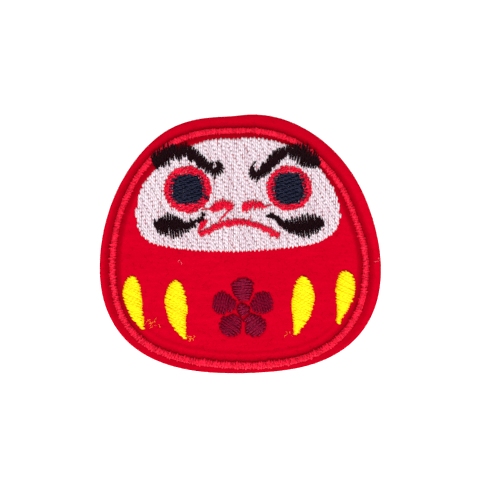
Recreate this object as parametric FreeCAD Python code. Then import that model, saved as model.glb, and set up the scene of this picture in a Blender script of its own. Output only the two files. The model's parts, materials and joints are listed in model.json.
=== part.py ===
"""Embroidered felt patch in the shape of a daruma doll, lying face up.

Frame, in millimetres: the origin is at the middle of the back face, +X runs to
the viewer's right, +Y runs towards the top of the doll's head, and +Z comes out
of the stitched face.

The patch is a laminate. From the back up it is a hot-melt film, the bobbin
threads, a stabiliser, the felt and the stitching. Every motif is a pad of
thread that sits in a shallow pocket pressed into what lies under it.
A satin motif is given as a stitching machine holds it: two rails, with point
number n of one rail joined to point number n of the other by a stitch.
"""
import FreeCAD, Part
import math
import os

# Layers, as heights above the back face.
BOBBIN_BOTTOM = 0.12
FILM_TOP = 0.30
STABILISER_TOP = 0.55
FELT_TOP = 1.75

# Stitching, as heights above the back face.
BORDER_BOTTOM = 1.35
BORDER_TOP = 2.05
SATIN_BOTTOM = 1.45
SATIN_TOP = 2.20
FILL_BOTTOM = 1.45
FILL_TOP = 1.90
OVERLAY_TOP = 2.35
PUPIL_TOP = 2.25
LOOSE_THREAD = 0.34

# Widths, and how many points carry a line that runs beside another.
BESIDE_POINTS = 60
BORDER_WIDTH_AT_TOP = 1.20
BORDER_WIDTH_AT_BOTTOM = 1.45
BORDER_BOBBIN_WIDTH = 0.50
COLUMN_BOBBIN_SHARE = 0.40
FILL_BOBBIN_INSET = 0.40

# Cut edge of the three layers, clockwise from the top of the head.
OUTLINE = [
    (0.0, 25.2), (8.5, 24.4), (16.5, 19.9), (22.4, 13.0), (26.0, 4.6), (27.5, -4.8),
    (26.3, -12.4), (22.3, -18.7), (14.0, -23.5), (4.4, -25.1), (-4.5, -25.2),
    (-13.8, -23.7), (-22.0, -19.1), (-26.4, -12.0), (-27.5, -4.0), (-25.0, 8.5),
    (-20.2, 16.9), (-13.3, 22.8), (-6.5, 24.7),
]

# Middle line of the satin border.
BORDER_LINE = [
    (0.5, 22.2), (7.5, 21.3), (12.4, 19.0), (15.8, 16.1), (19.7, 11.2), (22.5, 4.8),
    (24.2, -1.0), (24.4, -6.5), (23.1, -12.7), (20.0, -17.5), (15.3, -21.0),
    (8.5, -23.1), (0.0, -23.7), (-8.0, -23.0), (-14.8, -21.3), (-20.2, -18.0),
    (-23.6, -12.8), (-24.9, -6.5), (-24.5, 1.5), (-22.4, 8.8), (-18.9, 14.8),
    (-15.0, 18.6), (-10.6, 20.9), (-5.0, 22.0),
]

# Edge of the white face.
FACE_OUTLINE = [
    (0.2, 20.7), (6.2, 20.3), (12.0, 17.8), (17.1, 12.7), (19.3, 7.5), (19.4, 4.8),
    (17.6, 1.8), (9.9, -0.6), (0.0, -1.4), (-10.0, -1.1), (-15.5, -0.3), (-18.8, 1.3),
    (-20.1, 3.6), (-20.3, 6.8), (-19.6, 10.2), (-16.3, 14.9), (-10.2, 18.9), (-6.0, 20.4),
]

# Eyes: middle, outer radius of the ring, and the pupil's half width and half height.
# A pupil is squarer than an oval: its corners lie at this share of both halves.
PUPIL_CORNER = 0.78
EYES = {
    "left": {"middle": (-10.3, 10.7), "ring": 4.6, "pupil": (3.25, 2.95)},
    "right": {"middle": (9.5, 10.9), "ring": 4.4, "pupil": (3.10, 3.15)},
}

# Satin columns over the white face.
OVERLAYS = {
    "brow_left": (
        [(-17.4, 17.2), (-15.9, 18.8), (-14.4, 19.6), (-12.2, 19.7), (-9.7, 19.2),
         (-7.6, 17.7), (-5.8, 16.1), (-4.8, 15.2), (-4.75, 15.7), (-4.7, 16.3)],
        [(-16.9, 15.1), (-15.6, 14.8), (-14.0, 15.7), (-11.7, 16.6), (-9.7, 16.3),
         (-8.3, 15.2), (-6.8, 13.9), (-4.9, 13.0), (-3.4, 13.8), (-3.0, 15.4)],
    ),
    "brow_right": (
        [(2.8, 15.9), (2.6, 14.5), (3.6, 14.6), (4.5, 15.9), (5.7, 17.3), (7.5, 18.8),
         (9.5, 19.6), (11.4, 19.6), (13.2, 19.2), (14.9, 17.9), (15.7, 16.7)],
        [(1.8, 14.9), (1.7, 13.4), (3.1, 12.1), (4.8, 13.2), (5.9, 14.1), (7.2, 15.5),
         (8.9, 16.7), (10.5, 16.2), (12.3, 15.2), (13.9, 14.8), (15.4, 15.2)],
    ),
    "cheek_mark_left": (
        [(-16.9, 4.6), (-15.9, 5.4), (-14.6, 5.9), (-13.2, 5.8), (-11.9, 5.1),
         (-10.4, 4.5), (-8.9, 4.9), (-6.9, 6.0)],
        [(-16.8, 3.4), (-15.7, 2.0), (-14.2, 1.3), (-12.8, 1.2), (-11.3, 1.7),
         (-9.8, 2.5), (-8.3, 3.7), (-6.7, 5.2)],
    ),
    "cheek_mark_right": (
        [(5.0, 5.6), (6.2, 5.9), (7.6, 5.4), (9.4, 4.8), (11.2, 5.4), (12.9, 5.9),
         (14.7, 5.7), (16.1, 5.1)],
        [(5.3, 5.2), (6.6, 4.5), (8.2, 2.9), (10.0, 2.0), (11.8, 1.4), (13.4, 1.6),
         (15.0, 2.3), (16.3, 3.5)],
    ),
    "nose_mark_left": (
        [(-5.9, 7.0), (-4.9, 8.3), (-3.8, 8.8), (-2.5, 8.9), (-1.3, 8.1), (-1.2, 7.1)],
        [(-5.9, 6.5), (-4.8, 6.3), (-3.9, 6.6), (-3.0, 6.9), (-2.6, 6.8), (-2.2, 6.3)],
    ),
    "nose_mark_right": (
        [(0.3, 7.9), (1.1, 8.6), (2.2, 8.7), (3.4, 8.6), (4.5, 8.0), (5.0, 7.5)],
        [(0.3, 6.6), (1.1, 6.3), (2.2, 6.8), (3.3, 6.8), (4.4, 6.9), (5.0, 7.2)],
    ),
    "mouth": (
        [(-8.3, 2.6), (-6.4, 3.4), (-4.1, 4.6), (-1.3, 5.05), (2.4, 4.75), (4.6, 4.0),
         (6.3, 3.1), (7.9, 2.0)],
        [(-7.8, 1.3), (-5.7, 2.1), (-3.4, 3.2), (-1.2, 3.6), (2.2, 3.35), (3.9, 2.7),
         (5.4, 1.9), (7.0, 1.0)],
    ),
}

# Satin stripes on the red belly, each from its round top to its pointed foot.
STRIPES = {
    "stripe_outer_left": (
        [(-21.3, -6.2), (-22.5, -7.5), (-22.9, -9.3), (-22.5, -11.5), (-21.5, -13.8),
         (-20.0, -15.7), (-19.3, -16.4)],
        [(-20.6, -6.3), (-19.9, -7.5), (-19.4, -9.6), (-19.2, -11.9), (-18.95, -14.4),
         (-18.8, -15.9), (-18.8, -16.6)],
    ),
    "stripe_inner_left": (
        [(-13.0, -7.1), (-14.1, -8.4), (-14.7, -10.9), (-14.4, -13.2), (-13.6, -15.4),
         (-12.2, -17.2), (-11.2, -18.3)],
        [(-12.2, -7.2), (-11.2, -8.6), (-10.55, -11.2), (-10.5, -13.6), (-10.65, -15.9),
         (-10.6, -17.5), (-10.6, -18.5)],
    ),
    "stripe_inner_right": (
        [(11.9, -6.2), (10.9, -7.5), (10.2, -9.9), (10.1, -12.4), (10.3, -14.9),
         (10.4, -16.6), (10.4, -17.5)],
        [(12.7, -6.3), (13.8, -7.8), (14.4, -10.2), (14.0, -12.8), (12.9, -15.2),
         (11.6, -16.8), (11.0, -17.6)],
    ),
    "stripe_outer_right": (
        [(19.9, -5.1), (19.1, -6.2), (18.7, -8.0), (18.7, -10.0), (18.8, -12.3),
         (18.8, -14.2), (18.7, -15.4)],
        [(20.7, -5.2), (22.0, -6.4), (22.4, -8.2), (22.0, -10.3), (21.0, -12.6),
         (19.9, -14.4), (19.2, -15.6)],
    ),
}

# Thread that runs loose between motifs, as arcs through three points.
LOOSE_THREADS = [
    [(-2.5, 6.2), (-3.2, 5.6), (-4.0, 4.75)],
    [(-7.2, 6.7), (-6.6, 6.85), (-6.0, 6.8)],
    [(5.05, 7.35), (5.4, 7.55), (5.8, 7.65)],
    [(-7.6, 5.0), (-7.9, 3.8), (-8.1, 2.9)],
]

# Blossom on the belly: petals about a round eye. Each petal is given as its half
# width at distances from the blossom's middle.
BLOSSOM_MIDDLE = (0.5, -12.7)
BLOSSOM_PETALS = 5
BLOSSOM_EYE_RADIUS = 1.35
BLOSSOM_BOBBIN_RADIUS = 4.00
PETAL = [(1.55, 0.85), (2.4, 1.50), (3.3, 2.05), (4.3, 2.25), (5.3, 1.85), (6.1, 0.70)]


def vector(point):
    """Point of the patch's plane as a vector."""
    return FreeCAD.Vector(point[0], point[1], 0.0)


def loop(points):
    """Smooth closed wire through the points."""
    curve = Part.BSplineCurve()
    curve.interpolate([vector(point) for point in points], PeriodicFlag=True)
    return Part.Wire([curve.toShape()])


def loop_beside(line, at_top, at_bottom):
    """Smooth closed wire outside a clockwise one, or inside it where the distance is negative.

    The distance is given at the top and at the bottom of the line, and changes evenly between.
    """
    edge = line.Edges[0]
    span = edge.LastParameter - edge.FirstParameter
    points = []
    for number in range(BESIDE_POINTS):
        place = edge.FirstParameter + span * number / BESIDE_POINTS
        spot = edge.valueAt(place)
        along = edge.tangentAt(place)
        down = (edge.BoundBox.YMax - spot.y) / edge.BoundBox.YLength
        distance = at_top + (at_bottom - at_top) * down
        points.append(spot + FreeCAD.Vector(-along.y, along.x, 0.0) * distance)
    return loop(points)


def rail(points):
    """Smooth open edge through the points."""
    curve = Part.BSplineCurve()
    curve.interpolate([vector(point) for point in points])
    return curve.toShape()


def slab(wire, low, high):
    """Solid with the wire's outline between two heights."""
    face = Part.Face(wire)
    face.translate(FreeCAD.Vector(0.0, 0.0, low))
    return face.extrude(FreeCAD.Vector(0.0, 0.0, high - low))


def circle(middle, radius):
    """Round wire."""
    return Part.Wire([Part.Circle(vector(middle), FreeCAD.Vector(0, 0, 1), radius).toShape()])


def barrel(middle, half_width, half_height):
    """Wire between an oval and a rectangle with round corners."""
    sides = [
        (1.0, 0.0), (PUPIL_CORNER, -PUPIL_CORNER), (0.0, -1.0), (-PUPIL_CORNER, -PUPIL_CORNER),
        (-1.0, 0.0), (-PUPIL_CORNER, PUPIL_CORNER), (0.0, 1.0), (PUPIL_CORNER, PUPIL_CORNER),
    ]
    return loop([(middle[0] + x * half_width, middle[1] + y * half_height) for x, y in sides])


def column_wire(rails, share=1.0):
    """Outline between two rails, which share pulls in towards their middle line."""
    pull = (1.0 - share) / 2.0
    first, second = [
        [(a[0] + (b[0] - a[0]) * pull, a[1] + (b[1] - a[1]) * pull) for a, b in zip(near, far)]
        for near, far in (rails, rails[::-1])
    ]
    edges = [
        rail(first),
        Part.makeLine(vector(first[-1]), vector(second[-1])),
        rail(second[::-1]),
        Part.makeLine(vector(second[0]), vector(first[0])),
    ]
    return Part.Wire(Part.__sortEdges__(edges))


def band(line, at_top, at_bottom, low, high):
    """Band along a closed line, with its width at the top and at the bottom of the line."""
    outer = slab(loop_beside(line, at_top / 2.0, at_bottom / 2.0), low, high)
    inner = slab(loop_beside(line, -at_top / 2.0, -at_bottom / 2.0), low, high)
    return outer.cut(inner)


def thread_strip(points, low):
    """Short loose thread that lies along an arc."""
    start, middle, end = [vector(point) for point in points]
    centre = Part.Arc(start, middle, end).toShape().Curve.Center
    near, far = [
        [point + (point - centre).normalize().multiply(side) for point in (start, middle, end)]
        for side in (-LOOSE_THREAD / 2.0, LOOSE_THREAD / 2.0)
    ]
    edges = [
        Part.Arc(*near).toShape(),
        Part.makeLine(near[-1], far[-1]),
        Part.Arc(*far).toShape(),
        Part.makeLine(far[0], near[0]),
    ]
    return slab(Part.Wire(Part.__sortEdges__(edges)), low, low + LOOSE_THREAD)


def border_stitch():
    """Satin line that runs round the patch just inside its cut edge."""
    widths = (BORDER_WIDTH_AT_TOP, BORDER_WIDTH_AT_BOTTOM)
    return band(loop(BORDER_LINE), *widths, BORDER_BOTTOM, BORDER_TOP)


def face_fill():
    """White filled face."""
    return slab(loop(FACE_OUTLINE), FILL_BOTTOM, FILL_TOP)


def pupil(eye, top):
    """Dark barrel shape of an eye, from the white face up to a height."""
    return slab(barrel(eye["middle"], *eye["pupil"]), FILL_TOP, top)


def eye_ring(eye):
    """Red band round a pupil, open above it."""
    return slab(circle(eye["middle"], eye["ring"]), FILL_TOP, OVERLAY_TOP).cut(pupil(eye, OVERLAY_TOP))


def overlay(rails, under):
    """Satin motif that lies on the face and, past its edge, in the felt."""
    return slab(column_wire(rails), SATIN_BOTTOM, OVERLAY_TOP).cut(under)


def petal_rails(number):
    """Two rails of a petal, which is turned about the blossom's middle by its number."""
    turn = math.radians(90.0 + number * 360.0 / BLOSSOM_PETALS)
    out = (math.cos(turn), math.sin(turn))
    return [
        [(BLOSSOM_MIDDLE[0] + out[0] * reach - out[1] * side * half,
          BLOSSOM_MIDDLE[1] + out[1] * reach + out[0] * side * half)
         for reach, half in PETAL]
        for side in (1.0, -1.0)
    ]


def blossom():
    """Petals and eye of the blossom on the belly, by name."""
    eye = circle(BLOSSOM_MIDDLE, BLOSSOM_EYE_RADIUS)
    pieces = {"blossom_eye": slab(eye, SATIN_BOTTOM, SATIN_TOP)}
    for number in range(BLOSSOM_PETALS):
        outline = column_wire(petal_rails(number))
        pieces["blossom_petal_%d" % (number + 1)] = slab(outline, SATIN_BOTTOM, SATIN_TOP)
    return pieces


def bobbin_pads():
    """Undersides of the stitching: the lower threads, narrower than the motifs."""
    pads = [
        band(loop(BORDER_LINE), *[BORDER_BOBBIN_WIDTH] * 2, BOBBIN_BOTTOM, FILM_TOP),
        slab(loop_beside(loop(FACE_OUTLINE), *[-FILL_BOBBIN_INSET] * 2), BOBBIN_BOTTOM, FILM_TOP),
        slab(circle(BLOSSOM_MIDDLE, BLOSSOM_BOBBIN_RADIUS), BOBBIN_BOTTOM, FILM_TOP),
    ]
    for rails in STRIPES.values():
        pads.append(slab(column_wire(rails, COLUMN_BOBBIN_SHARE), BOBBIN_BOTTOM, FILM_TOP))
    return pads


def stitching():
    """Every motif on the face, by name, each cut clear of what it lies on."""
    border = border_stitch()
    pieces = {"border_stitch": border, "face_fill": face_fill().cut(border)}
    under = list(pieces.values())
    for side, eye in EYES.items():
        pieces["pupil_" + side] = pupil(eye, PUPIL_TOP)
        pieces["eye_ring_" + side] = eye_ring(eye)
        under.append(pieces["pupil_" + side])
        under.append(pieces["eye_ring_" + side])
    for name, rails in OVERLAYS.items():
        pieces[name] = overlay(rails, under)
    for name, rails in STRIPES.items():
        pieces[name] = slab(column_wire(rails), SATIN_BOTTOM, SATIN_TOP)
    pieces.update(blossom())
    neighbours = list(pieces.values())
    strips = [thread_strip(points, FILL_TOP).cut(neighbours) for points in LOOSE_THREADS]
    pieces["loose_threads"] = Part.makeCompound([strip for part in strips for strip in part.Solids])
    return pieces


def laminate(stitches, pads):
    """Film, stabiliser and felt, with pockets where the threads sit."""
    outline = loop(OUTLINE)
    return {
        "adhesive_film": slab(outline, 0.0, FILM_TOP).cut(pads),
        "stabiliser": slab(outline, FILM_TOP, STABILISER_TOP),
        "felt_base": slab(outline, STABILISER_TOP, FELT_TOP).cut(stitches),
    }


def main():
    """Build every piece and write one file each."""
    os.makedirs("parts", exist_ok=True)
    pieces = stitching()
    pads = bobbin_pads()
    pieces.update(laminate(list(pieces.values()), pads))
    pieces["bobbin_thread"] = Part.makeCompound(pads)
    for name, shape in pieces.items():
        shape.exportStep("parts/" + name + ".step")


main()
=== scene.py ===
"""Looks of the embroidered daruma patch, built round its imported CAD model.

Lengths are millimetres in the CAD frame until a mesh is made, which is in metres.
The patch lies face up: +X is the viewer's right and +Y the top of the doll's head.
Every stitch is a strand of two-ply thread that comes out of one needle hole, runs
over the cloth and goes back into the next. Outlines are read from the CAD nodes.
"""
import json
import math

import bpy
import numpy as np
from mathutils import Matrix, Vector, noise


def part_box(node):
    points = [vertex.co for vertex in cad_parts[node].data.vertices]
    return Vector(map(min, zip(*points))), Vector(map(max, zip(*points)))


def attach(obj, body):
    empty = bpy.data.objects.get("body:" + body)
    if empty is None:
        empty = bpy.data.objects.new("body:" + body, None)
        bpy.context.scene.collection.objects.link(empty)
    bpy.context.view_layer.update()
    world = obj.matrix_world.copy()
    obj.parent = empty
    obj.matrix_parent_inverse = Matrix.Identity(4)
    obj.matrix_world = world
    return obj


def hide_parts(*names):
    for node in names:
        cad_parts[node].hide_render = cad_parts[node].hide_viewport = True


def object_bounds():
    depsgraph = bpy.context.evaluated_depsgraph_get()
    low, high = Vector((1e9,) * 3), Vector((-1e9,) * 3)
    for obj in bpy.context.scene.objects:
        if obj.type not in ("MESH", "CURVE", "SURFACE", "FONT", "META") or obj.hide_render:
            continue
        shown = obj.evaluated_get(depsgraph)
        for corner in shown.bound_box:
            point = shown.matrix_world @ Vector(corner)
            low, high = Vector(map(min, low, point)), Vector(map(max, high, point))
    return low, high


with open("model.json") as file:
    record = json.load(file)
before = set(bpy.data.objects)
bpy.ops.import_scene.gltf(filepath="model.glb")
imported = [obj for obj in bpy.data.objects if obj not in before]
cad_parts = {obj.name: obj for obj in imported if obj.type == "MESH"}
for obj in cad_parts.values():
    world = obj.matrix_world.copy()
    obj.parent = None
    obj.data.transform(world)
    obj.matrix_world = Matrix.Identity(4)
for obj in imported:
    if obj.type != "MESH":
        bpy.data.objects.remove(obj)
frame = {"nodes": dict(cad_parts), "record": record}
cad_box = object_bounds()

MM = 0.001

# Heights above the back face, as in the CAD model.
FILM_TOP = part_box("adhesive_film")[1].z / MM
STABILISER_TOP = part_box("stabiliser")[1].z / MM
FELT_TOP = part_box("felt_base")[1].z / MM
FILL_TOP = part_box("face_fill")[1].z / MM
BORDER_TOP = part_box("border_stitch")[1].z / MM
SATIN_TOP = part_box("stripe_inner_left")[1].z / MM
OVERLAY_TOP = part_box("mouth")[1].z / MM
PUPIL_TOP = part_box("pupil_left")[1].z / MM

# Thread: its section, the length over which it thins towards a needle hole, the
# spacing of the rings that a strand is made of, and the turn and depth of its plies.
THREAD_RADIUS = 0.145
THREAD_FLATNESS = 0.82
THREAD_SIDES = 8
THREAD_STEP = 0.13
TAPER_LENGTH = 0.45
PLY_TURN = 1.5
PLY_DEPTH = 0.16
HEIGHT_SPREAD = 0.02

# Stitches: how far a thread goes before it is up on the cloth, the distance from one
# satin stitch to the one after next, and the rows of the white face.
RISE = 0.38
SATIN_PITCH = 0.50
FILL_SPACING = 0.41
FILL_STITCH = 2.80
FILL_ANGLE = math.radians(88.0)
FILL_RADIUS = 0.23
BORDER_UNDERLAY = (0.2, 0.4, 0.6, 0.8)
RING_BEND = 0.42
STRIPE_ANGLE = math.radians(-27.0)

# Pitch of the satin in the motifs on the face, and how unevenly it ends.
COLUMN_STITCHING = {"thread_black": (0.52, 0.23), "thread_red": (0.50, 0.15)}

# Picture: what the camera points at, and how much of the width the patch takes.
PICTURE_MIDDLE = (-0.08, 0.83)
OBJECT_SHARE_OF_PICTURE = 0.587
LENS = 85.0
SENSOR = 36.0

# Rails of the motifs on the face: point number n of one is stitched to point
# number n of the other.
COLUMNS = {
    "brow_left": (
        [(-17.4, 17.2), (-15.9, 18.8), (-14.4, 19.6), (-12.2, 19.7), (-9.7, 19.2),
         (-7.6, 17.7), (-5.8, 16.1), (-4.8, 15.2), (-4.75, 15.7), (-4.7, 16.3)],
        [(-16.9, 15.1), (-15.6, 14.8), (-14.0, 15.7), (-11.7, 16.6), (-9.7, 16.3),
         (-8.3, 15.2), (-6.8, 13.9), (-4.9, 13.0), (-3.4, 13.8), (-3.0, 15.4)],
    ),
    "brow_right": (
        [(2.8, 15.9), (2.6, 14.5), (3.6, 14.6), (4.5, 15.9), (5.7, 17.3), (7.5, 18.8),
         (9.5, 19.6), (11.4, 19.6), (13.2, 19.2), (14.9, 17.9), (15.7, 16.7)],
        [(1.8, 14.9), (1.7, 13.4), (3.1, 12.1), (4.8, 13.2), (5.9, 14.1), (7.2, 15.5),
         (8.9, 16.7), (10.5, 16.2), (12.3, 15.2), (13.9, 14.8), (15.4, 15.2)],
    ),
    "cheek_mark_left": (
        [(-16.9, 4.6), (-15.9, 5.4), (-14.6, 5.9), (-13.2, 5.8), (-11.9, 5.1),
         (-10.4, 4.5), (-8.9, 4.9), (-6.9, 6.0)],
        [(-16.8, 3.4), (-15.7, 2.0), (-14.2, 1.3), (-12.8, 1.2), (-11.3, 1.7),
         (-9.8, 2.5), (-8.3, 3.7), (-6.7, 5.2)],
    ),
    "cheek_mark_right": (
        [(5.0, 5.6), (6.2, 5.9), (7.6, 5.4), (9.4, 4.8), (11.2, 5.4), (12.9, 5.9),
         (14.7, 5.7), (16.1, 5.1)],
        [(5.3, 5.2), (6.6, 4.5), (8.2, 2.9), (10.0, 2.0), (11.8, 1.4), (13.4, 1.6),
         (15.0, 2.3), (16.3, 3.5)],
    ),
    "nose_mark_left": (
        [(-5.9, 7.0), (-4.9, 8.3), (-3.8, 8.8), (-2.5, 8.9), (-1.3, 8.1), (-1.2, 7.1)],
        [(-5.9, 6.5), (-4.8, 6.3), (-3.9, 6.6), (-3.0, 6.9), (-2.6, 6.8), (-2.2, 6.3)],
    ),
    "nose_mark_right": (
        [(0.3, 7.9), (1.1, 8.6), (2.2, 8.7), (3.4, 8.6), (4.5, 8.0), (5.0, 7.5)],
        [(0.3, 6.6), (1.1, 6.3), (2.2, 6.8), (3.3, 6.8), (4.4, 6.9), (5.0, 7.2)],
    ),
    "mouth": (
        [(-8.3, 2.6), (-6.4, 3.4), (-4.1, 4.6), (-1.3, 5.05), (2.4, 4.75), (4.6, 4.0),
         (6.3, 3.1), (7.9, 2.0)],
        [(-7.8, 1.3), (-5.7, 2.1), (-3.4, 3.2), (-1.2, 3.6), (2.2, 3.35), (3.9, 2.7),
         (5.4, 1.9), (7.0, 1.0)],
    ),
}
SLOTS = {entry["node"]: entry["material_slot"] for entry in frame["record"]["subparts"]}
STRIPES = ["stripe_outer_left", "stripe_inner_left", "stripe_inner_right", "stripe_outer_right"]
EYES = ["left", "right"]
PETALS = ["blossom_petal_%d" % number for number in range(1, 6)]

# Loose thread between motifs, as points that it passes over.
LOOSE_THREADS = [
    [(-2.4, 6.6), (-3.0, 5.75), (-3.6, 5.15), (-4.2, 4.4)],
    [(-7.7, 6.7), (-6.6, 6.85), (-5.6, 6.75)],
    [(4.7, 7.3), (5.4, 7.55), (6.2, 7.7)],
    [(-7.4, 5.2), (-7.8, 3.9), (-8.1, 2.6)],
    [(-7.0, 5.2), (-7.5, 4.0), (-8.0, 2.6)],
    [(-6.6, 5.0), (-7.2, 3.9), (-7.8, 2.7)],
    [(-6.3, 4.8), (-6.9, 3.9), (-7.5, 2.9)],
    [(1.2, 6.9), (1.2, 6.5), (1.15, 6.0)],
]

# Pupil stitches that strayed over the ring, as pairs of needle holes.
STRAY_STITCHES = {
    "left": [((-7.3, 9.75), (-6.3, 8.95)), ((-7.2, 9.45), (-5.95, 9.15)),
             ((-7.3, 9.1), (-6.2, 8.7))],
}


# ---------------------------------------------------------------- plane geometry

def seeded(name):
    """Random numbers that are the same each run, and differ from name to name."""
    return np.random.default_rng(sum(name.encode()))


def outlines(node):
    """Closed lines round the top face of a CAD node, largest first."""
    mesh = frame["nodes"][node].data
    spots = [tuple(round(part / MM, 4) for part in vertex.co) for vertex in mesh.vertices]
    top = max(spot[2] for spot in spots) - 0.001
    sides = set()
    for face in mesh.polygons:
        ring = [spots[corner] for corner in face.vertices]
        if min(spot[2] for spot in ring) >= top:
            sides.update(zip(ring, ring[1:] + ring[:1]))
    ahead = {a: b for a, b in sides if (b, a) not in sides}
    lines = []
    while ahead:
        start = max(ahead, key=lambda spot: (spot[1], spot[0]))
        line = [start]
        spot = ahead.pop(start)
        while spot != start and spot in ahead:
            line.append(spot)
            spot = ahead.pop(spot)
        lines.append(np.array(line)[:, :2])
    return sorted(lines, key=area_inside, reverse=True)


def area_inside(line):
    """Area inside a closed line."""
    ahead = np.roll(line, -1, axis=0)
    return abs((line[:, 0] * ahead[:, 1] - ahead[:, 0] * line[:, 1]).sum()) / 2


def run_along(line):
    """Length from a line's first point to each of its points."""
    return running(np.linalg.norm(np.diff(line, axis=0), axis=1))


def running(steps):
    """Running total of steps, from zero."""
    return np.concatenate([[0.0], np.cumsum(steps)])


def resample(line, count):
    """Evenly spaced points round a closed line."""
    line = np.vstack([line, line[:1]])
    run = run_along(line)
    places = np.linspace(0.0, run[-1], count + 1)[:-1]
    return np.column_stack([np.interp(places, run, line[:, axis]) for axis in range(2)])


def line_length(line):
    """Length round a closed line."""
    return np.linalg.norm(line - np.roll(line, -1, axis=0), axis=1).sum()


def distance(points, line):
    """Distance of each point from a closed line, negative inside it."""
    nearest = np.full(len(points), np.inf)
    inside = np.zeros(len(points), bool)
    for a, b in zip(line, np.roll(line, -1, axis=0)):
        along = b - a
        share = np.clip((points - a) @ along / max(along @ along, 1e-12), 0.0, 1.0)
        nearest = np.minimum(nearest, ((points - a - share[:, None] * along) ** 2).sum(axis=1))
        crosses = (a[1] > points[:, 1]) != (b[1] > points[:, 1])
        slope = along[0] / along[1] if along[1] else 0.0
        inside ^= crosses & (points[:, 0] < a[0] + (points[:, 1] - a[1]) * slope)
    return np.where(inside, -1.0, 1.0) * np.sqrt(nearest)


def catmull(points, places):
    """Smooth line through the points, read at places counted in points from the first."""
    points = np.array(points, float)
    padded = np.vstack([2 * points[0] - points[1], points, 2 * points[-1] - points[-2]])
    first = np.minimum(places.astype(int), len(points) - 2)
    t = (places - first)[:, None]
    p0, p1, p2, p3 = (padded[first + shift] for shift in range(4))
    return 0.5 * (2 * p1 + (p2 - p0) * t + (2 * p0 - 5 * p1 + 4 * p2 - p3) * t ** 2
                  + (3 * p1 - p0 - 3 * p2 + p3) * t ** 3)


def through(points, count):
    """Smooth line through the points, read at a number of places."""
    return catmull(points, np.linspace(0, len(points) - 1, count))


def smoothstep(value):
    """0 below 0, 1 above 1 and a smooth ramp between."""
    value = np.clip(value, 0.0, 1.0)
    return value * value * (3.0 - 2.0 * value)


def lift(x, y):
    """How far the limp patch stands off the floor at a point."""
    reach = (x ** 2 + y ** 2) / 27.0 ** 2
    wave = 0.5 + 0.5 * np.sin(0.13 * x + 0.08 * y + 0.6)
    return 0.02 + 0.34 * reach * wave


# ---------------------------------------------------------------- meshes

def place(name, points, faces, material, uvs=None, tints=None):
    """Smooth-shaded piece that rides on the patch."""
    points = np.array(points, float)
    points[:, 2] += lift(points[:, 0], points[:, 1])
    mesh = bpy.data.meshes.new(name)
    mesh.from_pydata(points * MM, [], faces)
    mesh.polygons.foreach_set("use_smooth", np.ones(len(mesh.polygons), bool))
    for layer_name, values in (uvs or {}).items():
        layer = mesh.uv_layers.new(name=layer_name)
        layer.data.foreach_set("uv", np.asarray(values, np.float32).ravel())
    for attribute_name, values in (tints or {}).items():
        attribute = mesh.attributes.new(attribute_name, "FLOAT", "POINT")
        attribute.data.foreach_set("value", np.asarray(values, np.float32))
    mesh.validate()
    mesh.materials.append(material)
    piece = bpy.data.objects.new(name, mesh)
    bpy.context.scene.collection.objects.link(piece)
    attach(piece, "root")
    return piece


def strand_faces(rings, sides):
    """Faces of one closed tube: quads along it, and quads across its two ends."""
    ring, side = np.meshgrid(np.arange(rings - 1), np.arange(sides), indexing="ij")
    ahead = (side + 1) % sides
    wall = np.stack([
        ring * sides + side, ring * sides + ahead,
        (ring + 1) * sides + ahead, (ring + 1) * sides + side,
    ], axis=-1).reshape(-1, 4)
    rung = np.arange(sides // 2 - 1)
    cap = np.stack([rung, sides - 1 - rung, sides - 2 - rung, rung + 1], axis=-1)
    return wall, np.vstack([cap, cap[:, ::-1] + (rings - 1) * sides])


def strand_uvs(rings, sides, run):
    """Per-corner coordinates along and round one tube, walls first and then its ends."""
    ring, side = np.meshgrid(np.arange(rings - 1), np.arange(sides), indexing="ij")
    corners = [(ring, side), (ring, side + 1), (ring + 1, side + 1), (ring + 1, side)]
    along = np.stack([run[r] for r, _ in corners], axis=-1).reshape(-1, 4)
    round_it = np.stack([s / sides for _, s in corners], axis=-1).reshape(-1, 4)
    caps = 2 * (sides // 2 - 1)
    half = caps // 2
    end_along = np.repeat([run[0]] * half + [run[-1]] * half, 4).reshape(-1, 4)
    along = np.vstack([along, end_along])
    round_it = np.vstack([round_it, np.zeros((caps, 4))])
    return along, round_it


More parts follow.
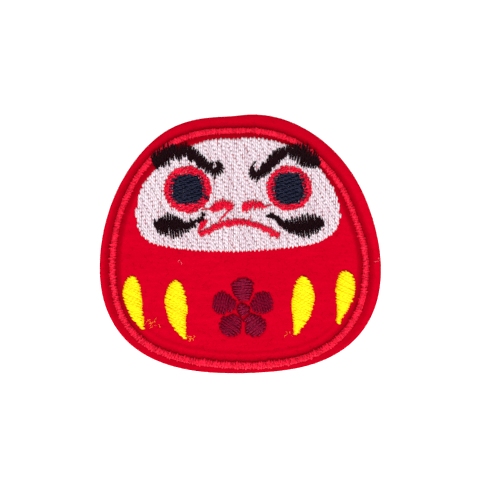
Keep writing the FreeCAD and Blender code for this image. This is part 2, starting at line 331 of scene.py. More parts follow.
def thread_piece(name, lines, material, slot, radius=THREAD_RADIUS, sides=THREAD_SIDES,
                 ply=PLY_DEPTH, spread=0.06, tip=0.45):
    """One piece made of strands of twisted thread that follow the lines."""
    draw = seeded(name)
    angles = 2 * math.pi * np.arange(sides) / sides
    points, faces, thread_uv, bake_uv, tints = [], [], [], [], []
    columns = math.ceil(math.sqrt(len(lines)))
    used = 0
    for number, line in enumerate(lines):
        rings = len(line)
        along = np.gradient(line, axis=0)
        along /= np.linalg.norm(along, axis=1)[:, None]
        side = np.cross(along, [0.0, 0.0, 1.0])
        side /= np.maximum(np.linalg.norm(side, axis=1), 1e-9)[:, None]
        up = np.cross(side, along)
        run = run_along(line)
        turn = 2 * math.pi * (run / PLY_TURN + draw.random())
        size = radius * (1.0 + spread * draw.standard_normal())
        swell = 1.0 + ply * np.cos(2.0 * (angles[None, :] - turn[:, None]))
        taper = tip + (1.0 - tip) * smoothstep(np.minimum(run, run[-1] - run) / TAPER_LENGTH)
        reach = size * swell * taper[:, None]
        ring = (line[:, None, :]
                + side[:, None, :] * (reach * np.cos(angles))[:, :, None]
                + up[:, None, :] * (reach * np.sin(angles) * THREAD_FLATNESS)[:, :, None])
        points.append(ring.reshape(-1, 3))
        wall, caps = strand_faces(rings, sides)
        faces.append(np.vstack([wall, caps]) + used)
        used += rings * sides
        length, round_it = strand_uvs(rings, sides, run)
        thread_uv.append(np.stack([length + 7.3 * number, round_it], axis=-1).reshape(-1, 2))
        cell = np.array([number % columns, number // columns])
        inner = np.stack([length / run[-1], round_it], axis=-1).reshape(-1, 2)
        bake_uv.append((cell + 0.06 + 0.88 * inner) / columns)
        tints.append(np.full(rings * sides, draw.random()))
    return place(name, np.vstack(points), np.vstack(faces), material,
                 uvs={"OFBake": np.vstack(bake_uv), "thread": np.vstack(thread_uv)},
                 tints={"tint": np.concatenate(tints)})


# ---------------------------------------------------------------- stitches

def stitch(start, end, low, high, crown=0.0):
    """Line of a thread out of one needle hole, over the cloth and into the next."""
    start, end = np.array(start, float), np.array(end, float)
    span = max(np.linalg.norm(end - start), 1e-6)
    share = np.linspace(0.0, 1.0, max(6, math.ceil(span / THREAD_STEP)) + 1)
    from_hole = np.minimum(share, 1.0 - share) * span
    rise = np.sin(np.clip(from_hole / min(RISE, span / 2), 0, 1) * math.pi / 2)
    height = low + (high - low) * rise + crown * 4.0 * share * (1.0 - share)
    return np.column_stack([start + (end - start) * share[:, None], height])


def zigzag(first, second, low, high, draw, crown, jitter=0.04, ends=0.16):
    """Satin stitches to and fro between two rails that have the same number of points."""
    across = second - first
    across = across / np.maximum(np.linalg.norm(across, axis=1), 1e-6)[:, None]
    on_first = (np.arange(len(first)) % 2 == 0)[:, None]
    holes = np.where(on_first, first, second)
    outward = np.where(on_first, -across, across)
    holes = holes + outward * ends * draw.standard_normal(len(first))[:, None]
    holes = holes + jitter * draw.standard_normal(holes.shape)
    lines = []
    for start, end in zip(holes[:-1], holes[1:]):
        top = high + HEIGHT_SPREAD * draw.standard_normal()
        lines.append(stitch(start, end, low, top, crown))
    return lines


def column_stitches(rails, low, high, draw, crown, pitch, ends):
    """Satin stitches between two rails given by a few points each, close along the longer."""
    places = np.linspace(0.0, len(rails[0]) - 1, 40 * len(rails[0]))
    steps = [np.linalg.norm(np.diff(catmull(rail, places), axis=0), axis=1) for rail in rails]
    run = running(0.75 * np.maximum(*steps) + 0.25 * np.minimum(*steps))
    count = max(3, round(run[-1] / (pitch / 2)))
    at = np.interp(np.linspace(0.0, run[-1], count + 1), run, places)
    first, second = (catmull(rail, at) for rail in rails)
    return zigzag(first, second, low, high, draw, crown, ends=ends)


def row_runs(lines, angle, spacing):
    """Rows across closed lines: (row number, offset, [(from, to), ...]) for each row."""
    along = np.array([math.cos(angle), math.sin(angle)])
    aside = np.array([-math.sin(angle), math.cos(angle)])
    sides = [(line @ along, line @ aside) for line in lines]
    low = min(s.min() for _, s in sides)
    high = max(s.max() for _, s in sides)
    rows = []
    for number in range(math.ceil(low / spacing), math.floor(high / spacing) + 1):
        offset = number * spacing
        found = []
        for t, s in sides:
            t2, s2 = np.roll(t, -1), np.roll(s, -1)
            cut = (s > offset) != (s2 > offset)
            found.extend(t[cut] + (t2[cut] - t[cut]) * (offset - s[cut]) / (s2[cut] - s[cut]))
        found.sort()
        runs = [(a, b) for a, b in zip(found[::2], found[1::2]) if b - a > 0.25]
        if runs:
            rows.append((number, offset, runs))
    return rows


def from_row(t, offset, angle):
    """Point of the plane at a distance along a row."""
    return np.array([
        t * math.cos(angle) - offset * math.sin(angle),
        t * math.sin(angle) + offset * math.cos(angle),
    ])


def slanted_satin(lines, angle, low, high, draw, crown, pitch=SATIN_PITCH, ends=0.16):
    """Satin stitches straight across a closed line at one angle."""
    rows = row_runs(lines, angle, pitch / 2)
    first = np.array([from_row(runs[0][0], offset, angle) for _, offset, runs in rows])
    second = np.array([from_row(runs[0][1], offset, angle) for _, offset, runs in rows])
    return zigzag(first, second, low, high, draw, crown, ends=ends)


def fill_stitches(lines, angle, spacing, length, low, high, draw,
                  teeth=0.0, bend=None, phases=2):
    """Rows of short stitches, staggered in phases, across closed lines."""
    made = []
    for number, offset, runs in row_runs(lines, angle, spacing):
        phase = (number % phases) / phases * length
        for start, end in runs:
            tooth = teeth * (1 if number % 2 else -1)
            start = start - tooth + 0.05 * draw.standard_normal()
            end = end + tooth + 0.05 * draw.standard_normal()
            inner = np.arange(math.ceil((start - phase) / length),
                              math.floor((end - phase) / length) + 1)
            holes = [t for t in inner * length + phase if start + 0.5 < t < end - 0.5]
            holes = [start] + [t + 0.07 * draw.standard_normal() for t in holes] + [end]
            sway = 0.035 * draw.standard_normal(len(holes))
            spots = [from_row(t, offset + s, angle) for t, s in zip(holes, sway)]
            for a, b in zip(spots[:-1], spots[1:]):
                line = stitch(a, b, low, high + HEIGHT_SPREAD * draw.standard_normal())
                made.append(line if bend is None else bend(line))
    return made


def underlay(lines, angle, spacing, height, inset):
    """Foundation threads that run crosswise beneath the stitches and close their gaps."""
    made = []
    for _, offset, runs in row_runs(lines, angle, spacing):
        for start, end in runs:
            if end - start > 2.5 * inset:
                along = np.linspace(start + inset, end - inset, max(4, round((end - start) / 0.6)))
                spots = np.array([from_row(t, offset, angle) for t in along])
                made.append(np.column_stack([spots, np.full(len(spots), height)]))
    return made


# ---------------------------------------------------------------- materials

def node(tree, kind, settings=None, **inputs):
    """New shader node. An input is a constant, or another node's output to link.

    i0, i1 and i2 are inputs by number, and other keys are inputs by name.
    """
    made = tree.nodes.new(kind)
    for key, value in (settings or {}).items():
        setattr(made, key, value)
    for key, value in inputs.items():
        numbered = key[0] == "i" and key[1:].isdigit()
        socket = made.inputs[int(key[1:]) if numbered else key]
        if isinstance(value, bpy.types.NodeSocket):
            tree.links.new(value, socket)
        else:
            socket.default_value = value
    return made


def math_node(tree, operation, first, second=0.0, third=0.5):
    """Output of a Math node."""
    return node(tree, "ShaderNodeMath", {"operation": operation},
                i0=first, i1=second, i2=third).outputs[0]


def noise_texture(tree, where, scale, detail, **constants):
    """Output of a noise texture."""
    return node(tree, "ShaderNodeTexNoise", Vector=where, Scale=scale, Detail=detail,
                **constants).outputs[0]


def stretched(tree, where, scale):
    """Coordinates with their own scale along each axis."""
    mapping = node(tree, "ShaderNodeMapping", Vector=where)
    mapping.inputs["Scale"].default_value = scale
    return mapping.outputs[0]


def bump(tree, main, height, strength, distance):
    """Fine relief on the main shader."""
    relief = node(tree, "ShaderNodeBump", Strength=strength, Distance=distance, Height=height)
    tree.links.new(relief.outputs[0], main.inputs["Normal"])


def shader(name, color, roughness, **constants):
    """New material: its node tree and its main shader, with constants on the sockets."""
    material = bpy.data.materials.new(name)
    material.use_nodes = True
    tree = material.node_tree
    main = tree.nodes["Principled BSDF"]
    main.inputs["Base Color"].default_value = (*color, 1.0)
    main.inputs["Roughness"].default_value = roughness
    for key, value in constants.items():
        main.inputs[key.replace("_", " ")].default_value = value
    return material, tree, main


def mix_colors(tree, share, first, second):
    """Output of a colour mix."""
    mixed = node(tree, "ShaderNodeMix", {"data_type": "RGBA"}, i0=share)
    for number, value in ((6, first), (7, second)):
        if isinstance(value, bpy.types.NodeSocket):
            tree.links.new(value, mixed.inputs[number])
        else:
            mixed.inputs[number].default_value = (*value, 1.0)
    return mixed.outputs[2]


def thread_material(name, color, groove_shade, roughness, gloss, glint, variety=0.25):
    """Shiny two-ply thread: painted shade between the plies, with fine filaments along them.

    The thread map gives the length along a strand and the share of the way round it.
    Variety is how much darker one strand can be than the next.
    """
    material, tree, main = shader(name, color, roughness, Specular_IOR_Level=gloss,
                                  Specular_Tint=(*glint, 1.0))
    uv = node(tree, "ShaderNodeUVMap", {"uv_map": "thread"}).outputs[0]
    split = node(tree, "ShaderNodeSeparateXYZ", i0=uv)
    length, round_it = split.outputs[0], split.outputs[1]
    tint = node(tree, "ShaderNodeAttribute", {"attribute_name": "tint"}).outputs["Fac"]
    twist = math_node(tree, "SUBTRACT", round_it, math_node(tree, "DIVIDE", length, PLY_TURN))
    ply = math_node(tree, "COSINE", math_node(tree, "MULTIPLY", twist, 4.0 * math.pi))
    ridge = math_node(tree, "MULTIPLY_ADD", ply, 0.5, 0.5)
    where = node(tree, "ShaderNodeCombineXYZ", i0=math_node(tree, "MULTIPLY", length, 0.9),
                 i1=math_node(tree, "MULTIPLY", twist, 16.0),
                 i2=math_node(tree, "MULTIPLY", tint, 9.0)).outputs[0]
    filaments = noise_texture(tree, where, 1.0, 2.0)
    shade = math_node(tree, "MULTIPLY_ADD", filaments, 0.9, -0.25)
    # Painted shade in the grooves between the plies, mixed below with the filaments' grain and each
    # strand's own tone.
    dark = math_node(tree, "MULTIPLY", math_node(tree, "SUBTRACT", 1.0, ridge), 0.6)
    share = math_node(tree, "ADD", dark, math_node(tree, "MULTIPLY", shade, 0.5))
    share = math_node(tree, "ADD", share, math_node(tree, "MULTIPLY", tint, variety))
    share.node.use_clamp = True
    tree.links.new(mix_colors(tree, share, color, groove_shade), main.inputs["Base Color"])
    bump(tree, main, filaments, 0.6, 0.00004)
    return material


def felt_material():
    """Needled felt: matt, faintly streaked along X, with painted shade where it is pressed in channels
    and creases.
    """
    # deep is the dark red of the random mottle, and also of the painted shade.
    color, deep, pale = (0.385, 0.0, 0.0085), (0.18, 0.0, 0.003), (0.525, 0.0, 0.015)
    material, tree, main = shader("red_felt", color, 0.92, Sheen_Weight=0.06, Sheen_Roughness=0.5,
                                  Sheen_Tint=(1.0, 0.02, 0.08, 1.0), Specular_IOR_Level=0.0)
    where = node(tree, "ShaderNodeTexCoord").outputs["Object"]
    streaks = noise_texture(tree, stretched(tree, where, (260.0, 1500.0, 1500.0)), 1.0, 3.0)
    mottle = noise_texture(tree, where, 180.0, 2.0)
    bands = noise_texture(tree, stretched(tree, where, (60.0, 600.0, 600.0)), 1.0, 2.0)
    fibre = noise_texture(tree, where, 6500.0, 3.0, Roughness=0.7)
    # Painted shade: an attribute darkens the felt's colour in the channels by the border, in creases,
    # round the motifs and on the rim at the top, mottled by the fibres.
    painted_shade = node(tree, "ShaderNodeAttribute", {"attribute_name": "painted_shade"}).outputs["Fac"]
    blotch = math_node(tree, "MULTIPLY", math_node(tree, "SUBTRACT", fibre, 0.35), 1.6)
    depth = math_node(tree, "MULTIPLY", painted_shade, math_node(tree, "ADD", blotch, 0.45))
    depth.node.use_clamp = True
    base = mix_colors(tree, math_node(tree, "MULTIPLY", streaks, 0.9), color, pale)
    patchy = math_node(tree, "ADD", math_node(tree, "MULTIPLY", mottle, 0.10),
                       math_node(tree, "MULTIPLY", bands, 0.22))
    base = mix_colors(tree, patchy, base, deep)
    tree.links.new(mix_colors(tree, depth, base, deep), main.inputs["Base Color"])
    height = math_node(tree, "ADD", math_node(tree, "MULTIPLY", streaks, 0.5), fibre)
    bump(tree, main, height, 0.5, 0.00008)
    return material


def grained(parts, dark, light, scale, detail):
    """Give a plain material a grain between two colours, and return its noise."""
    _, tree, main = parts
    where = node(tree, "ShaderNodeTexCoord").outputs["Object"]
    grain = noise_texture(tree, where, scale, detail)
    tree.links.new(mix_colors(tree, grain, dark, light), main.inputs["Base Color"])
    return grain


def backing_material():
    """Thin non-woven backing with its random fibres."""
    material, tree, main = parts = shader("stabiliser", (0.80, 0.78, 0.74), 0.85)
    fibre = grained(parts, (0.70, 0.67, 0.62), (0.88, 0.87, 0.84), 2200.0, 4.0)
    bump(tree, main, fibre, 0.5, 0.00006)
    return material


def film_material():
    """Milky hot-melt film with a fine pebbled surface."""
    material, tree, main = parts = shader("hot_melt_film", (0.80, 0.79, 0.75), 0.38,
                                          Subsurface_Weight=0.2)
    pebble = grained(parts, (0.74, 0.73, 0.69), (0.86, 0.85, 0.82), 900.0, 2.0)
    bump(tree, main, pebble, 0.4, 0.00010)
    return material


def floor_material():
    """Plain pale studio paper with a trace of grain and a faint light of its own."""
    material, _, main = parts = shader("studio_paper", (0.80, 0.80, 0.80), 0.9,
                                       Emission_Strength=0.55)
    main.inputs["Emission Color"].default_value = (1.0, 1.0, 1.0, 1.0)
    grained(parts, (0.79, 0.79, 0.79), (0.81, 0.81, 0.81), 300.0, 2.0)
    return material


def thread_set():
    """Thread materials by slot, and a brighter copy of the red one for the border, with painted light.

    Each has the colour of a ridge, the painted shade of the grooves between its plies,
    roughness, gloss and the tint of its gloss, and some have their variety.
    """
    looks = {
        "thread_red": (
            (0.84, 0.001, 0.024), (0.20, 0.0, 0.005), 0.30, 0.65, (1.0, 0.10, 0.24), 0.38),
        # Painted light: the border's red is a brighter copy of the red thread.
        "thread_red_border_lit": (
            (0.95, 0.010, 0.044), (0.40, 0.0, 0.009), 0.30, 0.65, (1.0, 0.11, 0.25), 0.70),
        "thread_white": ((0.67, 0.645, 0.67), (0.40, 0.25, 0.30), 0.40, 0.30, (1.0, 1.0, 1.0)),
        "thread_black": (
            (0.005, 0.001, 0.002), (0.001, 0.0, 0.0), 0.24, 0.14, (0.80, 0.32, 0.42)),
        "thread_navy": (
            (0.006, 0.006, 0.020), (0.001, 0.001, 0.004), 0.24, 0.16, (0.50, 0.55, 0.85)),
        "thread_yellow": (
            (0.91, 0.73, 0.002), (0.74, 0.39, 0.0), 0.30, 0.50, (1.0, 0.94, 0.10), 0.38),
        "thread_maroon": ((0.20, 0.0, 0.014), (0.02, 0.0, 0.002), 0.32, 0.50, (0.85, 0.06, 0.22)),
        "bobbin_thread": ((0.80, 0.80, 0.78), (0.55, 0.55, 0.53), 0.60, 0.30, (1.0, 1.0, 1.0)),
    }
    return {name: thread_material(name, *look) for name, look in looks.items()}


THREADS = thread_set()


# ---------------------------------------------------------------- felt and backing

CUT_EDGE = resample(outlines("stabiliser")[0], 640)
BORDER_OUTER, BORDER_INNER = (resample(line, 400) for line in outlines("border_stitch")[:2])
FACE = resample(outlines("face_fill")[0], 260)
BROW_LINES = []
for name in ("brow_left", "brow_right"):
    upper_rail, lower_rail = (through(rail, 60) for rail in COLUMNS[name])
    BROW_LINES.append(np.vstack([upper_rail, lower_rail[::-1]]))
MOTIFS_ON_FELT = [resample(outlines(name)[0], 90) for name in STRIPES + PETALS + ["blossom_eye"]]


def press(points):
    """How deep the felt is pressed, and how much painted shade its colour gets, at each point.

    It is pressed along the border and round the motifs, and puckered inside the border at
    the bottom; painted shade darkens these channels and the crease, and the rim at the top.
    """
    depth = np.zeros(len(points))
    dark = np.zeros(len(points))

    def add(lines, full, reach, amount, darkness):
        """Press the felt within full of the lines, and less and less over reach beyond that; darkness
        is the painted shade there.
        """
        away = np.maximum.reduce([distance(points, line) * sign for line, sign in lines])
        near = 1.0 - smoothstep((away - full) / reach)
        np.maximum(depth, amount * near, out=depth)
        np.maximum(dark, darkness * near, out=dark)

    outside = distance(points, BORDER_OUTER) > 0.0
    faces_light = outside * (1.0 - smoothstep((points[:, 1] + 22.0) / 16.0))
    inside = -distance(points, BORDER_INNER)
    low = 1.0 - smoothstep((points[:, 1] + 19.0) / 8.0)
    # Painted shade in the channels either side of the border: less on the outer side towards the
    # bottom, which faces the key light, and less on the inner side at the bottom.
    darkness = 1.0 - 0.85 * faces_light - 0.35 * low * (inside > 0)
    add([(BORDER_OUTER, 1.0), (BORDER_INNER, -1.0)], 0.30, 1.0, 0.34, darkness)
    # The pucker is real; its crease gets painted shade.
    pucker = low * np.exp(-((inside - 1.9) / 0.35) ** 2)
    np.maximum(depth, 0.10 * pucker, out=depth)
    np.maximum(dark, 0.45 * pucker, out=dark)
    # Painted shade on the rim outside the border, darker towards the top, away from the key light.
    np.maximum(dark, 0.34 * outside * smoothstep((points[:, 1] - 10.0) / 9.0), out=dark)
    add([(FACE, 1.0)], 0.0, 0.40, 0.04, 0.0)
    # Painted shade on the felt round the brows, and a little round the stripes and the blossom.
    for line in BROW_LINES:
        add([(line, 1.0)], 0.0, 0.40, 0.25, 0.4)
    for line in MOTIFS_ON_FELT:
        add([(line, 1.0)], 0.0, 0.40, 0.07, 0.05)
    return depth, dark


def bumps(points, size, amount, seed):
    """Smooth random heights."""
    return amount * np.array([noise.noise(Vector((x / size, y / size, seed))) for x, y in points])


def felt_top(points):
    """Height of the felt's upper face, and the painted shade of its colour."""
    depth, dark = press(points)
    from_edge = -distance(points, CUT_EDGE)
    outside = np.maximum(distance(points, BORDER_OUTER), 0.0)
    puff = 0.09 * smoothstep((outside - 0.5) / 1.2)
    at_edge = 1.0 - np.clip(from_edge / 0.75, 0, 1)
    rounding = 0.32 * (1.0 - np.sqrt(np.clip(1.0 - at_edge ** 2, 0, 1)))
    rough = (bumps(points * [0.14, 1.0], 0.34, 0.050, 7.0) + bumps(points, 0.55, 0.035, 1.0)
             + bumps(points, 0.24, 0.020, 5.0) + bumps(points, 3.5, 0.05, 9.0))
    height = FELT_TOP - depth + puff - rounding + rough * (1.0 - 0.5 * dark)
    return height, dark


def slab_piece(name, line, rings, top, bottom, wall_rows, material, bulge=0.0):
    """Closed sheet inside a cut edge. top gives the upper face's height and painted shade."""
    count = len(line)
    shares = np.unique(np.concatenate([np.linspace(0, 1, rings)[1:], [0.985, 0.993, 0.997]]))
    grid = np.vstack([[[0.0, 0.0]]] + [line * share for share in shares])
    height, dark = top(grid)
    upper = np.column_stack([grid, height])
    rim = upper[-count:]
    normal = np.column_stack([np.gradient(line[:, 1]), -np.gradient(line[:, 0])])
    normal /= np.linalg.norm(normal, axis=1)[:, None]
    normal *= np.sign((normal * line).sum())
    walls = []
    for row in range(1, wall_rows + 1):
        share = row / wall_rows
        out = bulge * math.sin(share * math.pi) + bumps(line + 40.0 * row, 0.5, 0.25 * bulge, 3.0)
        ring = line + normal * out[:, None]
        walls.append(np.column_stack([ring, rim[:, 2] + (bottom - rim[:, 2]) * share]))
    low_shares = np.linspace(0, 1, 24)[1:-1][::-1]
    lower = [np.column_stack([line * share, np.full(count, bottom)]) for share in low_shares]
    points = np.vstack([upper] + walls + lower + [[[0.0, 0.0, bottom]]])
    bands = len(shares) + wall_rows + len(low_shares)
    faces = []
    for band in range(bands - 1):
        start = 1 + band * count
        for spot in range(count):
            ahead = (spot + 1) % count
            faces.append((start + spot, start + count + spot, start + count + ahead, start + ahead))
    last = len(points) - 1
    start = 1 + (bands - 1) * count
    for spot in range(count):
        ahead = (spot + 1) % count
        faces.append((0, 1 + spot, 1 + ahead))
        faces.append((last, start + ahead, start + spot))
    if (line[0, 0] * line[1, 1] - line[1, 0] * line[0, 1]) < 0:
        faces = [face[::-1] for face in faces]
    # The painted shade of the upper face goes into an attribute for the colour; other points get none.
    shade = np.concatenate([dark, np.zeros(len(points) - len(dark))])
    piece = place(name + "_sheet", points, faces, material, tints={"painted_shade": shade})
    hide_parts(name)
    return piece


def flat_at(height, roughness, size):
    """Height function of a nearly flat face."""
    def top(points):
        return height + bumps(points, size, roughness, 2.0), np.zeros(len(points))
    return top


def build_layers():
    """Felt, stabiliser and adhesive film, each a sheet cut to the same outline."""
    felt = slab_piece("felt_base", CUT_EDGE, 104, felt_top, STABILISER_TOP, 6,
                      felt_material(), bulge=0.05)
    thin_edge = CUT_EDGE[::4]
    backing = slab_piece("stabiliser", thin_edge * 0.9965, 30,
                         flat_at(STABILISER_TOP - 0.01, 0.01, 1.0), FILM_TOP, 2, backing_material())
    film = slab_piece("adhesive_film", thin_edge * 0.998, 40, flat_at(FILM_TOP - 0.01, 0.01, 1.0),
                      0.0, 3, film_material())
    return felt


def build_fuzz(material):
    """Loose fibres that stand out of the felt and its cut edge."""
    draw = seeded("felt_fuzz")
    low, high = CUT_EDGE.min(axis=0), CUT_EDGE.max(axis=0)
    spots = draw.uniform(low, high, (4200, 2))
    keep = (distance(spots, CUT_EDGE) < -0.1) & (distance(spots, FACE) > 0.3)
    for line in MOTIFS_ON_FELT:
        keep &= distance(spots, line) > 0.3
    keep &= (distance(spots, BORDER_OUTER) > 0.2) | (distance(spots, BORDER_INNER) < -0.2)
    spots = spots[keep]
    height, _ = felt_top(spots)
    lines = []
    share = np.linspace(0.0, 1.0, 6)

    def fibre(x, y, turn, bend, length):
        """Curved line on the plane from a point."""
        heading = turn + bend * share
        step = length / (len(share) - 1)
        return x + np.cumsum(np.cos(heading)) * step, y + np.cumsum(np.sin(heading)) * step

    for (x, y), z in zip(spots, height):
        turn = draw.normal(0.0, 0.7) + (math.pi if draw.random() < 0.5 else 0.0)
        bend = draw.normal(0.0, 1.2)
        xs, ys = fibre(x, y, turn, bend, draw.uniform(0.5, 1.3))
        zs = z - 0.02 + draw.uniform(0.03, 0.14) * np.sin(share * math.pi)
        lines.append(np.column_stack([xs, ys, zs]))
    for x, y in CUT_EDGE[draw.integers(0, len(CUT_EDGE), 700)]:
        outward = math.atan2(y, x) + draw.normal(0.0, 0.8)
        bend = draw.normal(0.0, 1.5)
        xs, ys = fibre(x * 0.997, y * 0.997, outward, bend, draw.uniform(0.2, 0.6))
        zs = draw.uniform(STABILISER_TOP + 0.2, FELT_TOP - 0.3)
        lines.append(np.column_stack([xs, ys, zs + 0.1 * draw.standard_normal() * share]))
    thread_piece("felt_fuzz", lines, material, "red_felt", radius=0.014, sides=4, ply=0.0,
                 spread=0.2)


# ---------------------------------------------------------------- stitched motifs

def sewn(name, lines, material=None, **options):
    """Thread piece that stands for the CAD node of the same name."""
    slot = SLOTS[name]
    piece = thread_piece("sewn_" + name, lines, material or THREADS[slot], slot, **options)
    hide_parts(name)


def build_border():
    """Satin line just inside the cut edge, over four running threads.

    Each stitch goes from a point of the outer edge to the nearest point of the inner.
    """
    draw = seeded("border")
    count = 2 * round(line_length(BORDER_OUTER) / SATIN_PITCH)
    outer = resample(BORDER_OUTER, count)
    dense = resample(BORDER_INNER, 4000)
    nearest = [np.argmin(((dense - spot) ** 2).sum(axis=1)) for spot in outer]
    inner = dense[nearest]
    lines = zigzag(np.vstack([outer, outer[:1]]), np.vstack([inner, inner[:1]]),
                   FELT_TOP - 0.45, BORDER_TOP - 0.14, draw, crown=0.08, jitter=0.05, ends=0.07)
    for share in BORDER_UNDERLAY:
        run = outer[::3] + (inner[::3] - outer[::3]) * share
        run = np.column_stack([run, np.full(len(run), FELT_TOP - 0.02)])
        lines += [run[spot:spot + 9] for spot in range(0, len(run) - 1, 8)]
    # The border is sewn in the brighter, painted-lit copy of the red thread.
    sewn("border_stitch", lines, material=THREADS["thread_red_border_lit"], radius=0.165, ply=0.24, tip=0.5)


def build_face():
    """White face in rows of near-vertical stitches, as an upper and a lower half."""
    draw = seeded("face")
    lines = fill_stitches([FACE], FILL_ANGLE, FILL_SPACING, FILL_STITCH,
                          FELT_TOP - 0.16, FILL_TOP - 0.06, draw, teeth=0.10, phases=4)
    split = np.median([line[:, 1].mean() for line in lines])
    halves = {
        "face_fill_upper": [line for line in lines if line[:, 1].mean() >= split],
        "face_fill_lower": [line for line in lines if line[:, 1].mean() < split],
    }
    for name, half in halves.items():
        piece = thread_piece(name, half, THREADS["thread_white"], "thread_white",
                             radius=FILL_RADIUS, tip=0.54)
        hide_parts("face_fill")


def build_columns():
    """Satin motifs on the face: brows, cheek marks, nose marks and mouth."""
    for name, rails in COLUMNS.items():
        pitch, ends = COLUMN_STITCHING[SLOTS[name]]
        lines = column_stitches(rails, FILL_TOP - 0.14, OVERLAY_TOP - 0.16, seeded(name),
                                0.1, pitch, ends)
        sewn(name, lines, radius=0.155, tip=0.42)


def bent(line, middle, radius, back=False):
    """Line with the level rows of an eye ring curved along its edge, or curved back."""
    line = line.copy()
    x = np.clip((line[:, 0] - middle[0]) / radius, -1, 1)
    squeeze = np.sqrt(1.0 - RING_BEND * x ** 2)
    away = line[:, 1] - middle[1]
    line[:, 1] = middle[1] + (away / squeeze if back else away * squeeze)
    return line


def build_eye(side):
    """Red ring and dark pupil of an eye, both in level rows whose ends interlock."""
    draw = seeded("eye_" + side)
    outer, inner = (resample(line, 160) for line in outlines("eye_ring_" + side)[:2])
    middle, radius = outer.mean(axis=0), (outer[:, 0].max() - outer[:, 0].min()) / 2
    unbent = [bent(line, middle, radius, back=True) for line in (outer, inner)]
    unbent[1] = middle + (unbent[1] - middle) * [0.86, 0.92]
    lines = fill_stitches(unbent, math.radians(8.0), 0.42, 1.9, FILL_TOP - 0.14,
                          OVERLAY_TOP - 0.27, draw, teeth=0.16,
                          bend=lambda line: bent(line, middle, radius))
    lines += underlay([outer, inner], math.pi / 2, 0.36, FILL_TOP + 0.03, inset=0.1)
    sewn("eye_ring_" + side, lines, radius=0.22, ply=0.24, tip=0.6)
    lines = fill_stitches([inner], 0.0, 0.26, 2.2, FILL_TOP, PUPIL_TOP + 0.04, draw,
                          teeth=0.45, phases=3)
    narrow = inner * [0.9, 1.0] + middle * [0.1, 0.0]
    lines += underlay([narrow], math.pi / 2, 0.25, FILL_TOP + 0.10, inset=0.1)
    for start, end in STRAY_STITCHES.get(side, []):
        lines.append(stitch(start, end, FILL_TOP, OVERLAY_TOP + 0.02))
    sewn("pupil_" + side, lines, radius=0.145)


def build_stripe(name):
    """Yellow satin stripe with slanted stitches."""
    draw = seeded(name)
    line = resample(outlines(name)[0], 160)
    lines = slanted_satin([line], STRIPE_ANGLE, FELT_TOP - 0.15, SATIN_TOP - 0.22, draw,
                          crown=0.12, pitch=0.44, ends=0.07)
    lines += underlay([line], math.pi / 2, 0.34, FELT_TOP + 0.02, inset=0.5)
    sewn(name, lines, radius=0.205, tip=0.65)


def build_petal(name):
    """Maroon petal, with satin that lies square to the line from the blossom's middle."""
    draw = seeded(name)
    line = resample(outlines(name)[0], 160)
    low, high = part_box("blossom_eye")
    heart = np.array([(low.x + high.x) / 2, (low.y + high.y) / 2]) / MM
    away = line.mean(axis=0) - heart
    angle = math.atan2(away[1], away[0]) + math.pi / 2
    lines = slanted_satin([line], angle, FELT_TOP - 0.35, SATIN_TOP - 0.22, draw, crown=0.12)
    sewn(name, lines, radius=0.17)


def build_blossom_eye():
    """Round middle of the blossom."""
    draw = seeded("blossom_eye")
    line = resample(outlines("blossom_eye")[0], 90)
    lines = slanted_satin([line], math.radians(20.0), FELT_TOP - 0.35, SATIN_TOP - 0.15, draw,
                          crown=0.10)
    sewn("blossom_eye", lines)


def build_loose_threads():
    """Jump threads and tails that lie over the face."""
    lines = []
    for points in LOOSE_THREADS:
        flat = through(points, 10 * len(points))
        share = np.linspace(0.0, 1.0, len(flat))
        height = FILL_TOP + 0.12 + 0.16 * np.sin(np.clip(share * 6, 0, 1) * math.pi / 2)
        lines.append(np.column_stack([flat, height]))
    sewn("loose_threads", lines, radius=0.16)


def build_lint():
    """Stray fibres left on the felt, in clouds: middle, spread and number of each."""
    draw = seeded("lint")
    clouds = {
        "thread_yellow": [((-17.4, -15.3), (0.9, 0.4), 16), ((-9.8, -18.1), (0.45, 0.25), 12),
                          ((9.8, -17.6), (0.4, 0.15), 5)],
        "thread_white": [((-12.1, -3.3), (0.2, 0.6), 3), ((26.6, -3.3), (0.3, 0.4), 3)],
        "thread_red": [((-3.9, 23.7), (1.3, 0.05), 7)],
    }
    for slot, spots in clouds.items():
        lines = []
        for middle, spread, count in spots:
            for start in draw.normal(middle, spread, (count, 2)):
                heading = draw.uniform(0, 2 * math.pi) + np.cumsum(draw.normal(0.0, 0.5, 6))
                step = draw.uniform(0.05, 0.16)
                ways = np.column_stack([np.cos(heading), np.sin(heading)])
                flat = start + step * np.cumsum(ways, axis=0)
                height, _ = felt_top(flat)
                lines.append(np.column_stack([flat, height + 0.03]))
        thread_piece("lint_" + slot[len("thread_"):], lines, THREADS[slot], slot,
                     radius=0.024, sides=4, ply=0.0)


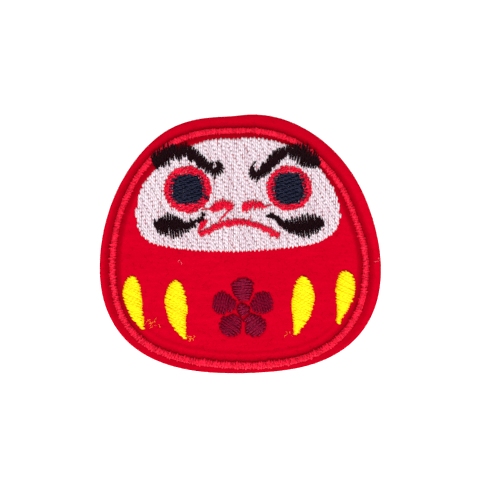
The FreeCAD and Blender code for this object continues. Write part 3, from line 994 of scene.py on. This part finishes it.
def build_bobbin():
    """Lower threads, which lie between the film and the stabiliser."""
    draw = seeded("bobbin")
    low, high = FILM_TOP - 0.02, FILM_TOP - 0.07
    lines = fill_stitches([FACE * 0.985], FILL_ANGLE, FILL_SPACING * 2, FILL_STITCH,
                          low, high, draw)
    for name in STRIPES + PETALS:
        line = resample(outlines(name)[0], 120)
        small = line.mean(axis=0) + (line - line.mean(axis=0)) * [0.45, 0.9]
        lines += slanted_satin([small], STRIPE_ANGLE, low, high, draw, crown=0.0)
    sewn("bobbin_thread", lines, radius=0.08, sides=6, ply=0.1)


# ---------------------------------------------------------------- studio

def add_object(name, data):
    """New object of the scene."""
    made = bpy.data.objects.new(name, data)
    bpy.context.scene.collection.objects.link(made)
    return made


def build_floor():
    """Pale paper that the patch lies on."""
    mesh = bpy.data.meshes.new("floor")
    mesh.from_pydata([(-3, -3, 0), (3, -3, 0), (3, 3, 0), (-3, 3, 0)], [], [(0, 1, 2, 3)])
    mesh.materials.append(floor_material())
    add_object("floor", mesh)


def build_lights():
    """White surroundings, a key light from below the chin and a weaker one from beyond the head."""
    world = bpy.data.worlds.new("studio")
    world.use_nodes = True
    background = world.node_tree.nodes["Background"]
    background.inputs["Color"].default_value = (1.0, 1.0, 1.0, 1.0)
    background.inputs["Strength"].default_value = 0.66
    bpy.context.scene.world = world
    lamps = {"key": ((0.04, -0.36, 0.44), 0.30, 3.7), "fill": ((-0.10, 0.30, 0.55), 0.60, 2.1)}
    for name, (spot, size, power) in lamps.items():
        lamp = bpy.data.lights.new(name, "AREA")
        lamp.size = size
        lamp.energy = power
        holder = add_object(name, lamp)
        holder.location = spot
        holder.rotation_euler = (-Vector(spot)).to_track_quat("-Z", "Y").to_euler()


def build_camera():
    """Camera that looks straight down on the face."""
    camera = bpy.data.cameras.new("camera")
    camera.lens = LENS
    camera.sensor_width = SENSOR
    camera.clip_start = 0.01
    holder = add_object("camera", camera)
    width = (cad_box[1].x - cad_box[0].x) / OBJECT_SHARE_OF_PICTURE
    x, y = (part * MM for part in PICTURE_MIDDLE)
    holder.location = (x, y, FELT_TOP * MM + width * LENS / SENSOR)
    bpy.context.scene.camera = holder
    bpy.context.scene.view_settings.view_transform = "Standard"


felt = build_layers()
build_fuzz(felt.data.materials[0])
build_border()
build_face()
build_columns()
for eye in EYES:
    build_eye(eye)
for name in STRIPES:
    build_stripe(name)
for name in PETALS:
    build_petal(name)
build_blossom_eye()
build_loose_threads()
build_lint()
build_bobbin()
build_floor()
build_lights()
build_camera()
